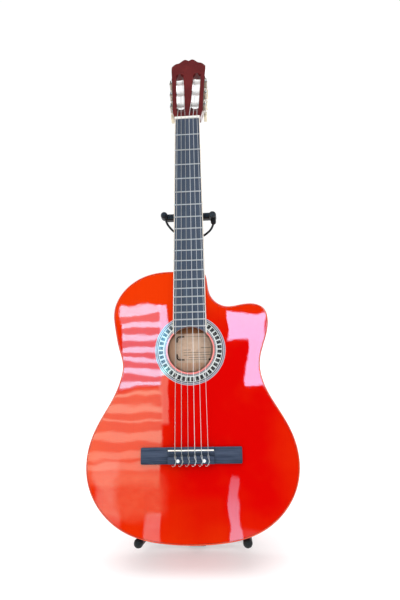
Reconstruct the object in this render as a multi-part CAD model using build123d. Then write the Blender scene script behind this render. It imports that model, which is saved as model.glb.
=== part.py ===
from build123d import *
import os
import math

# Classical cutaway guitar resting on a folding tube stand.
# Millimetres.  +Z up, the guitar faces -Y, floor at Z = 0.

os.makedirs("parts", exist_ok=True)

# ---------------------------------------------------------------- driving sizes
SCALE = 650.0            # string length, nut to saddle
LEAN = 14.0              # guitar and mast lean back from the vertical
FRONT_EDGE_Z = 52.0      # height of the body's lower front edge
BASE_Y = -203.3233          # world Y of the body's lower front edge
TAIL_U = -805.5          # lower end of the body along the neck axis
BODY_DEPTH = 96.0        # front face to the ends of the ribs' back edge
TOP_T = 2.5              # soundboard
BACK_T = 2.5             # back plate
RIB_T = 2.2              # ribs
BACK_R = 4500.0          # radius of the back's cross arch
BACK_N = -99.5           # outer face of the back on its centre line
BIND = 3.0               # binding width
BIND_H = 4.0             # binding height
HOLE_U = -475.5          # soundhole centre
HOLE_R = 42.0
ROSE_IN, ROSE_OUT = 44.8, 64.6
ROSE_T = 0.8
BOARD_T = 7.0            # fingerboard
STRIP = 1.6              # fingerboard edge strip
FRET_H = 1.2
N_FRETS = 19
NECK_NUT_T = 15.0        # neck wood below the board at the nut
NECK_END_T = 18.2        # the same near the heel
HEAD_TILT = 14.0
HEAD_T = 17.0
ROLL_V = (50.0, 85.0, 119.5)   # roller stations along the headstock
ROLL_N = -8.5            # roller axis below the headstock face
SIDE_TILT = 2.49         # slots and side edges flare outwards
MAST_N = -118.0          # mast axis behind the soundboard plane
MAST_R, MAST_BORE = 10.0, 8.06
INNER_R = 8.0
YOKE_U = -205.8          # yoke bar centre
ARM_X, ARM_U = 92.6, -802.95    # cradle arms
ARM_R, FOAM_R = 5.0, 8.0
FOOT_Y, FOOT_Z, FOOT_R = 137.0, 11.0, 8.5
HINGE_U, HINGE_N = -545.0, -141.0

cosL, sinL = math.cos(math.radians(LEAN)), math.sin(math.radians(LEAN))


def ypos(d):
    """World Y of a point d behind the body's lower front edge."""
    return BASE_Y + d


# guitar frame: x across, y along the neck (towards the head), z out of the soundboard,
# origin at the nut, in the soundboard plane
G = Pos(0, BASE_Y - TAIL_U * sinL, FRONT_EDGE_Z - TAIL_U * cosL) * Rot(90 - LEAN, 0, 0)
# headstock frame: y along the headstock, z out of its face
HEAD = Pos(0, 5.0, 0.6) * Rot(-HEAD_TILT, 0, 0)


def gpoint(x, u, n):
    """World point of a guitar-frame point."""
    return (x,
            BASE_Y + (u - TAIL_U) * sinL - n * cosL,
            FRONT_EDGE_Z + (u - TAIL_U) * cosL + n * sinL)


def save(node, shape):
    solids = list(shape.solids())
    out = solids[0] if len(solids) == 1 else Compound(children=solids)
    export_step(out, "parts/" + node + ".step")
    return out


def gsave(node, shape):
    return save(node, G * shape)


def join(items):
    """Separate solids written as one group."""
    out = []
    for it in items:
        out += list(it.solids())
    return Compound(children=out)


# ---------------------------------------------------------------- body outline
OUTLINE = [
    (0.0, -805.6), (42.8, -803.6), (84.5, -796.7), (123.6, -780.9),
    (156.1, -754.1), (178.0, -718.8), (186.1, -679.7), (180.7, -637.9), (164.0, -599.2),
    (142.7, -562.7), (127.7, -524.9), (126.5, -496.0), (137.6, -457.4), (143.9, -424.8),
    (141.4, -408.9), (137.1, -401.3), (130.4, -396.0), (118.4, -392.0), (91.9, -393.4),
    (67.7, -395.4), (56.5, -391.8), (45.2, -383.0), (37.9, -371.5), (33.1, -344.7),
    (30.1, -332.6), (25.8, -327.1), (19.4, -324.4), (-7.0, -324.3), (-49.3, -324.9),
    (-89.1, -333.7), (-117.3, -351.7), (-135.8, -375.7), (-142.9, -398.3), (-140.5, -432.3),
    (-131.4, -473.6), (-124.6, -500.5), (-127.7, -524.9), (-142.7, -562.7), (-164.0, -599.2),
    (-180.7, -637.9), (-186.1, -679.7), (-178.0, -718.8), (-156.1, -754.1), (-123.6, -780.9),
    (-84.5, -796.7), (-42.8, -803.6)]
outer = Spline(*OUTLINE, periodic=True)


def inset(a):
    """Body outline moved inwards by a, as a smooth closed curve."""
    if a == 0:
        return outer
    m = 110
    pts = []
    for i in range(m):
        p = outer @ (i / m)
        t = outer % (i / m)
        # the outline runs anticlockwise, so its inside is to the left
        pts.append((p.X - t.Y * a, p.Y + t.X * a))
    return Spline(*pts, periodic=True)


def slab(a, z0, z1):
    """Solid of the outline moved in by a, between two heights."""
    return Pos(0, 0, z0) * extrude(make_face(inset(a)), z1 - z0)


def ring(a0, a1, z0, z1):
    return slab(a0, z0, z1) - slab(a1, z0 - 1, z1 + 1)


# the arched back: a large cylinder along the neck direction
arch_out = Pos(0, -565, BACK_N + BACK_R) * Rot(90, 0, 0) * Cylinder(BACK_R, 700)
arch_in = Pos(0, -565, BACK_N + BACK_R) * Rot(90, 0, 0) * Cylinder(BACK_R - BACK_T, 700)
half_l = Pos(-150, -565, -50) * Box(300, 700, 160)
half_r = Pos(150, -565, -50) * Box(300, 700, 160)

# soundboard with soundhole and rosette channel
top = slab(BIND, -TOP_T, 0) - Pos(0, HOLE_U, 0) * Cylinder(HOLE_R, 20)
rose_channel = Pos(0, HOLE_U, -ROSE_T / 2) * (Cylinder(ROSE_OUT, ROSE_T) - Cylinder(ROSE_IN, ROSE_T))
top = top - Pos(0, HOLE_U, 0) * (Cylinder(ROSE_OUT, 2 * ROSE_T) - Cylinder(ROSE_IN, 2 * ROSE_T))
gsave("soundboard", top)
gsave("rosette", rose_channel)

# back plate and binding
back = (slab(BIND, -110, -40) & arch_out) - arch_in
gsave("back_plate", back)
bind_front = ring(0, BIND, -BIND_H, 0)
arch_bind = Pos(0, -565, BACK_N + BACK_R) * Rot(90, 0, 0) * Cylinder(BACK_R - BIND_H, 700)
bind_back = (ring(0, BIND, -110, -40) & arch_out) - arch_bind
gsave("binding", join([bind_front, bind_back]))

# ribs: one band, parted at the tail and under the neck
band = ring(0, RIB_T, -110, -BIND_H) & arch_bind
gsave("rib_bass", band & half_l)
gsave("rib_treble", band & half_r)

# blocks, linings and braces inside
arch_cav = arch_in
cavity = slab(RIB_T, -110, -TOP_T)
tail_block = (Pos(0, -796, -50) * Box(56, 30, 110)) & cavity & arch_cav
neck_block = ((Pos(0, -342, -50) * Box(56, 36, 110))
              + Pos(0, -382, -92) * Box(56, 50, 16)) & cavity & arch_cav
neck_block = neck_block & (Pos(0, -372, -50) * Box(56, 96, 120))
gsave("tail_block", tail_block - bind_front - bind_back)
gsave("neck_block", neck_block - bind_front - bind_back)
keep_out = (Pos(0, -796, -50) * Box(56, 30, 130)) + (Pos(0, -342, -50) * Box(56, 60, 130))
lin_front = ring(RIB_T, 8.2, -16, -TOP_T) - keep_out - bind_front
arch_lin = Pos(0, -565, BACK_N + BACK_R) * Rot(90, 0, 0) * Cylinder(BACK_R - 14, 700)
lin_back = ((ring(RIB_T, 8.2, -110, -40) & arch_in) - arch_lin) - keep_out - bind_back
gsave("linings", join([lin_front, lin_back]))
inner = slab(8.4, -110, -TOP_T)
braces = []
for u, h in ((-420.0, 16.0), (-535.0, 16.0)):
    braces.append((Pos(0, u, -TOP_T - h / 2) * Box(400, 7, h)) & inner)
for k in (-2, -1, 0, 1, 2):
    bar = Pos(k * 33.0, -655, -TOP_T - 3) * Rot(0, 0, -k * 5.0) * Box(5, 200, 6)
    braces.append(bar & inner)
back_slab = slab(8.4, -110, -40) & arch_in
for u in (-410.0, -560.0, -690.0):
    lo = Pos(0, u, -92) * Box(400, 9, 16)
    bb = (lo & back_slab)
    if u > -430:
        bb = bb - (Pos(0, -372, -50) * Box(57, 97, 130))
    braces.append(bb)
gsave("braces", join(braces))
label = (Pos(4.0, -458, -96.0) * Box(86, 60, 4)) & arch_in
arch_lab = Pos(0, -565, BACK_N + BACK_R) * Rot(90, 0, 0) * Cylinder(BACK_R - BACK_T - 0.3, 700)
label = label - arch_lab
gsave("label", label)


# ---------------------------------------------------------------- fingerboard
def half_w(u):
    """Half width of the dark board."""
    return 24.0 + (-u) * 3.9 / 325.0


END_U = -446.0


def board_poly(extra):
    return make_face(Polyline((-half_w(0) - extra, 0), (half_w(0) + extra, 0),
                              (half_w(END_U) + extra, END_U), (-half_w(END_U) - extra, END_U), close=True))


hole_cut = Pos(0, HOLE_U, 0) * Cylinder(HOLE_R, 60)
board_full = extrude(board_poly(0), BOARD_T)
board = board_full - hole_cut
gsave("fingerboard", board)
strips = extrude(board_poly(STRIP), BOARD_T) - extrude(board_poly(0), 3 * BOARD_T, both=True) - hole_cut
gsave("board_edging", join([strips]))

fret_r = 1.2
fret_prof = (Cylinder(fret_r, 80) & (Pos(fret_r, 0, 0) * Box(2 * fret_r, 10, 80)))
frets = []
for n in range(1, N_FRETS + 1):
    u = -SCALE * (1 - 2 ** (-n / 12))
    w = 2 * (half_w(u) + STRIP - 0.4)
    bar = Cylinder(fret_r, w)                       # axis along z
    bar = Rot(0, 90, 0) * bar                       # axis along x
    bar = Pos(0, u, BOARD_T + FRET_H - fret_r) * bar
    bar = bar & (Pos(0, u, BOARD_T + 5) * Box(100, 10, 10))
    if n == N_FRETS:
        bar = bar - hole_cut
    frets.append(bar)
gsave("frets", join(frets))

# ---------------------------------------------------------------- neck
def d_section(w, depth, u, shoulder=3.0):
    """Rounded neck section in the plane y = u, flat side at z = 0."""
    pts = []
    m = 16
    for i in range(m + 1):
        a = math.pi * i / m
        c, s = math.cos(a), math.sin(a)
        x = w * math.copysign(abs(c) ** 0.82, c)
        z = -shoulder - (depth - shoulder) * s ** 0.9
        pts.append((x, z))
    curve = Spline(*[(p[0], u, p[1]) for p in pts])
    lines = Polyline((-w, u, -shoulder), (-w, u, 0), (w, u, 0), (w, u, -shoulder))
    return make_face([*curve.edges(), *lines.edges()])


def nw(u):
    return half_w(u) + STRIP - 0.15


shaft = loft([d_section(nw(5), NECK_NUT_T, 5.0), d_section(nw(-130), 16.4, -130.0),
              d_section(nw(-300), NECK_END_T, -323.6)])
# heel: side profile cut by a tapering cross section
side = make_face([*Spline((-16.0, -262.0), (-18.6, -276.0), (-26.0, -291.0), (-42.0, -303.0),
                          (-66.0, -309.0), (-96.5, -311.5)).edges(),
                  *Polyline((-96.5, -311.5), (-96.5, -323.9), (0.0, -323.9), (0.0, -262.0), (-16.0, -262.0)).edges()])
# the profile above is drawn as (z, y); build it in the YZ plane
heel_side = extrude(Plane(origin=(0, 0, 0), x_dir=(0, 0, 1), z_dir=(-1, 0, 0)) * side, 60, both=True)
cs = make_face([*Spline((28.9, 0.0), (27.6, -8.0), (23.5, -17.0), (18.0, -30.0), (15.0, -56.0), (13.5, -97.0)).edges(),
                *Polyline((13.5, -97.0), (-13.5, -97.0)).edges(),
                *Spline((-13.5, -97.0), (-15.0, -56.0), (-18.0, -30.0), (-23.5, -17.0), (-27.6, -8.0), (-28.9, 0.0)).edges(),
                *Polyline((-28.9, 0.0), (28.9, 0.0)).edges()])
heel_cross = extrude(Plane(origin=(0, -240, 0), x_dir=(1, 0, 0), z_dir=(0, -1, 0)) * cs, 120)
heel = heel_side & heel_cross

# ---------------------------------------------------------------- headstock
SIDE = [(26.6, -6.0), (27.0, 4.0), (29.2, 11.0), (31.0, 20.0), (31.9, 40.0), (33.1, 70.0),
        (34.6, 103.0), (36.1, 128.0), (37.5, 150.0), (37.3, 161.5)]
CREST = [(37.3, 161.5), (34.4, 166.0), (31.2, 169.6), (26.8, 172.6), (22.0, 174.0), (18.6, 176.6),
         (15.2, 180.2), (10.6, 184.2), (7.2, 185.0), (3.4, 183.2), (0.0, 180.6)]
right_side = Spline(*SIDE)
left_side = Spline(*[(-x, v) for x, v in SIDE])
crest_r = Spline(*CREST)
crest_l = Spline(*[(-x, v) for x, v in CREST])
head_face = make_face([*right_side.edges(), *crest_r.edges(), *crest_l.edges(), *left_side.edges(),
                       *Line((-26.6, -6.0), (26.6, -6.0)).edges()])
head = Pos(0, 0, -HEAD_T) * extrude(head_face, HEAD_T)


def side_frame(s):
    """Frame of one tuner side (s = +1 right, -1 left): origin on the slot's centre line."""
    return Pos(s * 14.2, 25.0, 0) * Rot(0, 0, -s * SIDE_TILT)


SLOT_W = 16.4
for s in (1, -1):
    f = side_frame(s)
    slot = Pos(0, 64, -8) * Box(SLOT_W, 100, 40)
    slot = fillet(slot.edges().filter_by(Axis.Z), 8.0)
    # the strings drop into the slot over a sloping floor
    ramp_side = make_face(Polyline((1.0, -16.0), (0.0, -16.0), (-11.0, 14.0), (-11.0, 22.5), (1.0, 22.5), close=True))
    ramp = extrude(Plane(origin=(0, 0, 0), x_dir=(0, 0, 1), z_dir=(-1, 0, 0)) * ramp_side, SLOT_W / 2, both=True)
    head = head - f * slot - f * ramp
    for v in ROLL_V:
        y = v - 25.0
        head = head - f * Pos(s * 12.0, y, ROLL_N) * Rot(0, 90, 0) * Cylinder(3.06, 14)
        head = head - f * Pos(-s * 11.0, y, ROLL_N) * Rot(0, 90, 0) * Cylinder(3.06, 7)

# neck and headstock meet in the plane y = 5, behind the nut
neck = (shaft + heel) - slab(0, -110, 1)
head_g = HEAD * head - Pos(0, -45, 0) * Box(120, 100, 80)
gsave("neck", neck)

# nut
nut = Pos(0, 2.5, 4.9) * Box(51.0, 5.0, 9.8)
nut = fillet(nut.edges().filter_by(Axis.X).group_by(Axis.Z)[-1], 1.4)
NUT_X = [-20.25 + 8.1 * i for i in range(6)]
gsave("nut", nut)

# ---------------------------------------------------------------- tuners
GEAR_R, WORM_R = 6.8, 2.4
GEAR_X, GEAR_W = 20.6, 2.6
WORM_DY = -(GEAR_R + WORM_R + 0.35)     # worms on the nut side of their gears
plates, screws = [], []
NODE_NO = {-1: (6, 5, 4), 1: (1, 2, 3)}
for s in (1, -1):
    f = HEAD * side_frame(s)
    pl = Pos(s * 17.55, 56, -8.5) * Box(1.3, 108, 11.0)
    pl = fillet(pl.edges().filter_by(Axis.X), 4.5)
    for i, v in enumerate(ROLL_V):
        y = v - 25.0
        pl = pl - Pos(s * 17.5, y, ROLL_N) * Rot(0, 90, 0) * Cylinder(3.06, 8)
        for zc in (ROLL_N + 6.6, ROLL_N - 6.6):
            ear = Pos(s * 20.35, y + WORM_DY, zc) * Box(5.1, 5.6, 1.6)
            ear = ear + Pos(s * 17.55, y + WORM_DY, zc * 0.5 + ROLL_N * 0.5) * Box(1.3, 5.6, abs(zc - ROLL_N) + 1.6)
            pl = pl + ear
        pl = pl - Pos(s * GEAR_X, y + WORM_DY, ROLL_N) * Cylinder(1.56, 40)
    plates.append(f * pl)
    for y in (5.6, 39.5, 74.3, 106.0):
        sc = Pos(s * 18.75, y, -8.5) * Rot(0, 90, 0) * Cylinder(1.9, 1.1)
        sc = sc + Pos(s * 16.2, y, -8.5) * Rot(0, 90, 0) * Cylinder(0.9, 4.0)
        screws.append(f * sc)
    for i, v in enumerate(ROLL_V):
        y = v - 25.0
        k = NODE_NO[s][i]
        axle = Pos(s * 3.4, y, ROLL_N) * Rot(0, 90, 0) * Cylinder(3.0, 34.4)
        gear = Cylinder(GEAR_R, GEAR_W)
        for q in range(14):
            gear = gear - Rot(0, 0, q * 360 / 14 + 360 / 28) * Pos(GEAR_R, 0, 0) * Cylinder(0.62, 4)
        gear = gear + Pos(0, 0, GEAR_W / 2 + 0.35) * Cylinder(2.6, 0.9)
        gear = Pos(s * GEAR_X, y, ROLL_N) * Rot(0, s * 90, 0) * gear
        sleeve = Pos(0, y, ROLL_N) * Rot(0, 90, 0) * (Cylinder(5.0, SLOT_W - 0.8) - Cylinder(3.0, 30))
        # string hole through the sleeve is closed by the string's knot
        gsave("roller_%d" % k, f * join([axle + gear, sleeve]))
        wy = y + WORM_DY
        shaft_w = Pos(s * GEAR_X, wy, ROLL_N - 5.2) * Cylinder(1.5, 27.0)
        worm = Pos(s * GEAR_X, wy, ROLL_N) * Cylinder(WORM_R, 11.0)
        for g in range(5):
            worm = worm - Pos(s * GEAR_X, wy, ROLL_N - 4.0 + 2.0 * g) * (Cylinder(4, 0.7) - Cylinder(1.8, 0.7))
        btn = Pos(s * GEAR_X, wy, ROLL_N - 25.0) * Cylinder(8.2, 15.0)
        btn = btn & (Pos(s * GEAR_X, wy, ROLL_N - 25.0) * Box(6.6, 30, 30))
        btn = fillet(btn.edges(), 1.6)
        gsave("button_%d" % k, f * (shaft_w + worm + btn))
plates = [p - join(screws) - head_g for p in plates]
head_g = head_g - join(screws)
save("tuner_plates", G * join(plates))
save("tuner_screws", G * join(screws))
gsave("headstock", head_g)

# ---------------------------------------------------------------- bridge, saddle, dots
BR_X = 88.5
bridge = Pos(0, -660.75, 2.3) * Box(2 * BR_X, 28.5, 4.6)
bridge = fillet(bridge.edges().filter_by(Axis.Z), 2.5)
bridge = fillet(bridge.edges().group_by(Axis.Z)[-1], 1.8)
mid = Pos(0, -660.75, 4.4) * Box(81.0, 28.5, 8.8)
mid = fillet(mid.edges().group_by(Axis.Z)[-1], 0.8)
bridge = bridge + mid
bridge = bridge - Pos(0, -659.6, 7.2) * Box(81.4, 5.6, 6.0)        # channel behind the saddle
bridge = bridge - Pos(0, -652.0, 7.0) * Box(80.0, 2.4, 6.0)        # saddle slot
SADDLE_X = [-27.6 + 11.5 * i for i in range(6)]
for x in SADDLE_X:
    bridge = bridge - Pos(x, -668, 5.2) * Rot(90, 0, 0) * Cylinder(0.95, 30)
for x in (-22.8, 22.8):
    bridge = bridge - Pos(x, -669.6, 8.8) * Cylinder(3.0, 1.6)
gsave("bridge", bridge)
gsave("tie_dots", join([Pos(x, -669.6, 8.45) * Cylinder(3.0, 0.9) for x in (-22.8, 22.8)]))
saddle = Pos(0, -652.0, 7.4) * Box(79.6, 2.4, 6.8)
saddle = fillet(saddle.edges().filter_by(Axis.X).group_by(Axis.Z)[-1], 1.0)
gsave("saddle", saddle)

# ---------------------------------------------------------------- strings
STR_R = [0.55, 0.45, 0.38, 0.51, 0.41, 0.36]      # 6th .. 1st
wound, plain = [], []
for i in range(6):
    s = -1 if i < 3 else 1
    st = i if i < 3 else 5 - i                    # station: outer strings nearest the nut
    v = ROLL_V[st]
    r = STR_R[i]
    xn, xs = NUT_X[i], SADDLE_X[i]
    slot_c = 14.2 + (v - 25.0) * math.tan(math.radians(SIDE_TILT))
    xr = {0: 19.0, 1: 15.6, 2: 12.8}[st] * s
    # touches the top of the roller's winding: 0.5 above the sleeve
    tang = (HEAD * Pos(xr, v - 1.0, ROLL_N + 5.0 + 0.35 + r)).position
    pts = [Vector(xs, -675.4, 5.2), Vector(xs, -662.0, 5.2), Vector(xs, -652.0, 10.8 + r + 0.02),
           Vector(xn, 2.5, 9.8 + r + 0.02), Vector(tang.X, tang.Y, tang.Z)]
    path = FilletPolyline(*pts, radius=[2.5, 3.0, 3.0])
    prof_c = Plane(origin=path @ 0, z_dir=path % 0) * Circle(r)
    body = sweep(prof_c, path=path)
    L0 = sum(e.length for e in path.edges())
    print("string", 6 - i, "length %.1f" % L0, "volume ratio %.4f" % (body.volume / (math.pi * r * r * L0)))
    (wound if i < 3 else plain).append(body)
gsave("strings_wound", join(wound))
gsave("strings_plain", join(plain))

# ================================================================ the stand
# -------- mast (parallel to the guitar's back), in the guitar frame
def along_u(x, n, u0, u1, r):
    """Cylinder along the neck direction."""
    return Pos(x, (u0 + u1) / 2, n) * Rot(90, 0, 0) * Cylinder(r, abs(u1 - u0))


def along_n(x, u, n0, n1, r):
    return Pos(x, u, (n0 + n1) / 2) * Cylinder(r, abs(n1 - n0))


def along_x(u, n, x0, x1, r):
    return Pos((x0 + x1) / 2, u, n) * Rot(0, 90, 0) * Cylinder(r, abs(x1 - x0))


MAST_LOW, MAST_TOP = -818.0, -470.0
CLAMP_U = -482.0
STUD_R = 4.0
mast = along_u(0, MAST_N, MAST_LOW, MAST_TOP, MAST_R)
mast = mast - along_u(0, MAST_N, MAST_LOW - 5, MAST_TOP + 5, MAST_BORE)
mast = mast - along_n(0, CLAMP_U, MAST_N - 20, MAST_N, STUD_R + 0.06)
mast = mast - along_x(ARM_U, MAST_N, -30, 30, ARM_R)
gsave("mast_lower", mast)

# swan-neck upper tube
goose = [(0, -612.0, MAST_N), (0, -274.3 + 45 * math.tan(math.radians(30)), MAST_N), (0, -203.8, -41.0)]
gpath = FilletPolyline(*[Vector(*p) for p in goose], radius=45.0)
gstart = Plane(origin=gpath @ 0, z_dir=gpath % 0)
tube_full = sweep(gstart * Circle(INNER_R), path=gpath)
tube_core = sweep(gstart * Circle(INNER_R - 1.5), path=gpath)
gsave("mast_upper", tube_full - tube_core)

collar = along_u(0, MAST_N, -500, -462, 14.0) - along_u(0, MAST_N, -510, MAST_TOP, MAST_R) \
    - along_u(0, MAST_N, -480, -450, 8.4)
collar = collar + (along_n(0, CLAMP_U, MAST_N - 24, MAST_N - 11, 8.0) - along_u(0, MAST_N, -520, -440, 13.0))
collar = collar - along_n(0, CLAMP_U, MAST_N - 30, MAST_N - 2, STUD_R + 0.06)
gsave("clamp_collar", collar)
stud = along_n(0, CLAMP_U, MAST_N - 40, MAST_N - INNER_R - 0.5, STUD_R)
knob = Pos(0, CLAMP_U, MAST_N - 34.5) * Cylinder(16.0, 17.0)
knob = fillet(knob.edges(), 2.5)
for q in range(6):
    knob = knob - Pos(0, CLAMP_U, MAST_N - 34.5) * Rot(0, 0, 60 * q) * Pos(19.5, 0, 0) * Cylinder(6.5, 30)
knob = knob - stud
gsave("clamp_knob", join([knob, stud]))

# -------- yoke
BAR_U0, BAR_U1 = -210.2, -197.4
BAR_N0, BAR_N1 = -33.6, -17.7
bar = Pos(-2, (BAR_U0 + BAR_U1) / 2, (BAR_N0 + BAR_N1) / 2) * Box(92, BAR_U1 - BAR_U0, BAR_N1 - BAR_N0)
bar = fillet(bar.edges().filter_by(Axis.X), 3.6)
lt = along_n(-50.4, -201.8, BAR_N0 + 8.0, -15.2, 7.0) + Pos(-50.4, -201.8, -15.2) * Sphere(7.0) \
    + Pos(-50.4, -201.8, BAR_N0 + 8.0) * Sphere(7.0)
rt = along_n(46.3, -206.4, BAR_N0 + 2.0, -9.5, 7.2)
rt = fillet(rt.edges(), 2.0)
lobe = along_u(47.8, -12.0, -206.0, -222.0, 5.3) + Pos(47.8, -222.0, -12.0) * Sphere(5.3)
pad = bar + lt + rt + lobe
pad = pad & (Pos(0, -210, 50 + BAR_N0) * Box(200, 100, 100))
core = along_x(-203.8, -25.6, -50.0, 44.0, 3.0)
pad = pad - core
post = along_n(46.2, -208.5, -9.5, -3.5, 7.0)
post = fillet(post.edges().group_by(Axis.Z)[-1], 2.2)
post_neck = along_n(46.2, -208.5, -15.0, -9.5, 3.0)
post = post + post_neck
pad = pad - post
hub = Pos(0, -205.4, -43.0) * Sphere(12.8)
hub = hub & (Pos(0, -205, -43.0 - 50 + (BAR_N0 + 43.0)) * Box(100, 100, 100))
hub = hub - tube_full

# strap hanging behind the neck, from the left arm to the socket under the right arm
STRAP_R = 2.1
STRAP = [(-48.0, -205.6, -14.6), (-46.9, -212.0, -13.2), (-45.2, -218.6, -13.8), (-40.9, -225.8, -16.4), (-32.0, -235.2, -20.6),
         (-17.9, -244.8, -24.6), (-1.1, -250.0, -26.6), (15.9, -249.6, -25.8), (29.6, -244.4, -23.0),
         (41.2, -236.6, -18.4), (46.6, -228.6, -14.4), (47.8, -222.6, -12.4)]


def cord_radii(points, r):
    out = []
    v = [Vector(*p) for p in points]
    for a, b, c in zip(v, v[1:], v[2:]):
        l1, l2 = (b - a).length, (c - b).length
        turn = (b - a).get_angle(c - b)
        out.append(0.45 * min(l1, l2) / math.tan(math.radians(turn) / 2))
    return out


radii = cord_radii(STRAP, STRAP_R)
print("strap radii", [round(x, 1) for x in radii])
spath = FilletPolyline(*[Vector(*p) for p in STRAP], radius=radii)
strap = sweep(Plane(origin=spath @ 0, z_dir=spath % 0) * Circle(STRAP_R), path=spath)
slen = sum(e.length for e in spath.edges())
print("strap length %.1f volume ratio %.4f" % (slen, strap.volume / (math.pi * STRAP_R ** 2 * slen)))
strap = strap - pad
strap = max(strap.solids(), key=lambda q: q.volume)
gsave("yoke_pad", pad)
gsave("yoke_frame", join([core, hub]))
gsave("strap_post", post)
gsave("neck_strap", strap)

# -------- foot bracket, foot tube, cradle
W_FOOT = Pos(0, ypos(FOOT_Y), FOOT_Z) * Rot(0, 90, 0)
foot_tube = W_FOOT * (Cylinder(FOOT_R, 184) - Cylinder(FOOT_R - 1.6, 200))
foot_solid = W_FOOT * Cylinder(FOOT_R, 184)
caps = []
for s in (1, -1):
    c = Pos(s * 89.5, ypos(FOOT_Y), FOOT_Z) * Rot(0, 90, 0) * Cylinder(12.0, 17)
    c = fillet(c.edges(), 1.6)
    c = c & Pos(s * 89.5, ypos(FOOT_Y), 50) * Box(60, 60, 100)
    caps.append(c - foot_solid)
save("foot_tube", foot_tube)
save("foot_caps", join(caps))
bracket = Pos(0, -800, -129.5) * Box(36, 62, 46)
bracket = fillet(bracket.edges().filter_by(Axis.Y), 6.0)
bracket = bracket - along_u(0, MAST_N, MAST_LOW, -700, MAST_R) - along_x(ARM_U, MAST_N, -60, 60, ARM_R)
bracket = (G * bracket) & Pos(0, 0, 104) * Box(1000, 1000, 200)
bracket = bracket - foot_solid
save("foot_bracket", bracket)
cross = along_x(ARM_U, MAST_N, -72, 72, ARM_R)
gsave("cradle_cross", cross)
for s, name in ((-1, "left"), (1, "right")):
    apath = FilletPolyline(Vector(s * 72, ARM_U, MAST_N), Vector(s * ARM_X, ARM_U, MAST_N),
                           Vector(s * ARM_X, ARM_U, -6.0), radius=18.0)
    arm = sweep(Plane(origin=apath @ 0, z_dir=apath % 0) * Circle(ARM_R), path=apath)
    gsave("cradle_arm_" + name, arm)
foams, ends = [], []
for s in (-1, 1):
    foams.append(along_n(s * ARM_X, ARM_U, -98.0, -10.0, FOAM_R) - along_n(s * ARM_X, ARM_U, -120.0, 20.0, ARM_R))
    e = along_n(s * ARM_X, ARM_U, -10.0, -9.0, 8.0) + (Pos(s * ARM_X, ARM_U, -9.0) * Sphere(8.0)
                                                      & Pos(s * ARM_X, ARM_U, 11.0) * Box(40, 40, 40))
    ends.append(e - along_n(s * ARM_X, ARM_U, -120.0, -6.0, ARM_R))
gsave("cradle_foam", join(foams))
gsave("cradle_caps", join(ends))

# -------- rear frame
hb = along_u(0, MAST_N, HINGE_U - 20, HINGE_U + 20, 13.0)
for s in (1, -1):
    ear = along_x(HINGE_U, HINGE_N, s * 9.2, s * 13.0, 9.0) + Pos(s * 11.1, HINGE_U, (MAST_N + HINGE_N) / 2) * \
        Box(3.8, 18.0, abs(HINGE_N - MAST_N))
    hb = hb + ear
hb = hb - along_u(0, MAST_N, HINGE_U - 40, HINGE_U + 40, MAST_R)
hb = hb - along_x(HINGE_U, HINGE_N, -30, 30, 3.0)
bolt = along_x(HINGE_U, HINGE_N, -15.0, 15.0, 3.0) + along_x(HINGE_U, HINGE_N, 13.0, 17.0, 5.2) \
    + along_x(HINGE_U, HINGE_N, -17.0, -13.0, 5.2)
gsave("hinge_bracket", hb)
gsave("hinge_bolt", bolt)

HX, HY, HZ = gpoint(0, HINGE_U, HINGE_N)
REAR_Y, REAR_X = ypos(404.0), 124.0
dirv = Vector(0, REAR_Y - HY, 10.0 - HZ).normalized()
KN = Plane(origin=(0, HY, HZ), x_dir=(1, 0, 0), z_dir=dirv)
knuckle = Pos(0, HY, HZ) * Rot(0, 90, 0) * Cylinder(9.0, 17.6)
knuckle = knuckle + KN * Pos(0, 0, 12) * Box(17.6, 13, 24)
wide = KN * Pos(0, 0, 33) * Box(34.0, 18, 26)
wide = fillet(wide.edges(), 3.0)
knuckle = knuckle + wide
knuckle = knuckle - Pos(0, HY, HZ) * Rot(0, 90, 0) * Cylinder(3.06, 40)
legs = []
tops = []
for s, name in ((-1, "left"), (1, "right")):
    a = Vector(s * 11.0, HY, HZ) + dirv * 30.0
    b = Vector(s * REAR_X, REAR_Y, 9.0)
    d = (b - a).normalized()
    ln = (b - a).length
    leg = Plane(origin=a, z_dir=d) * Pos(0, 0, ln / 2) * (Cylinder(7.0, ln))
    legs.append(leg)
lt_n, rt_n = legs
knuckle = knuckle - lt_n - rt_n
brace_d = 0.60
p_l = Vector(0, HY, HZ) + dirv * 200.0
brace = Pos(0, p_l.Y, p_l.Z) * Rot(0, 90, 0) * Cylinder(5.0, 230)
brace = brace - lt_n - rt_n
brace = sorted(brace.solids(), key=lambda q: abs(q.center().X))[0]
boots = []
for s, leg in ((-1, lt_n), (1, rt_n)):
    bt = Pos(s * REAR_X, REAR_Y, 9.0) * Cylinder(11.0, 18.0)
    bt = fillet(bt.edges(), 2.0)
    boots.append(bt - leg)
save("rear_leg_left", lt_n)
save("rear_leg_right", rt_n)
save("rear_knuckle", knuckle)
save("rear_brace", brace)
save("rear_feet", join(boots))

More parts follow.
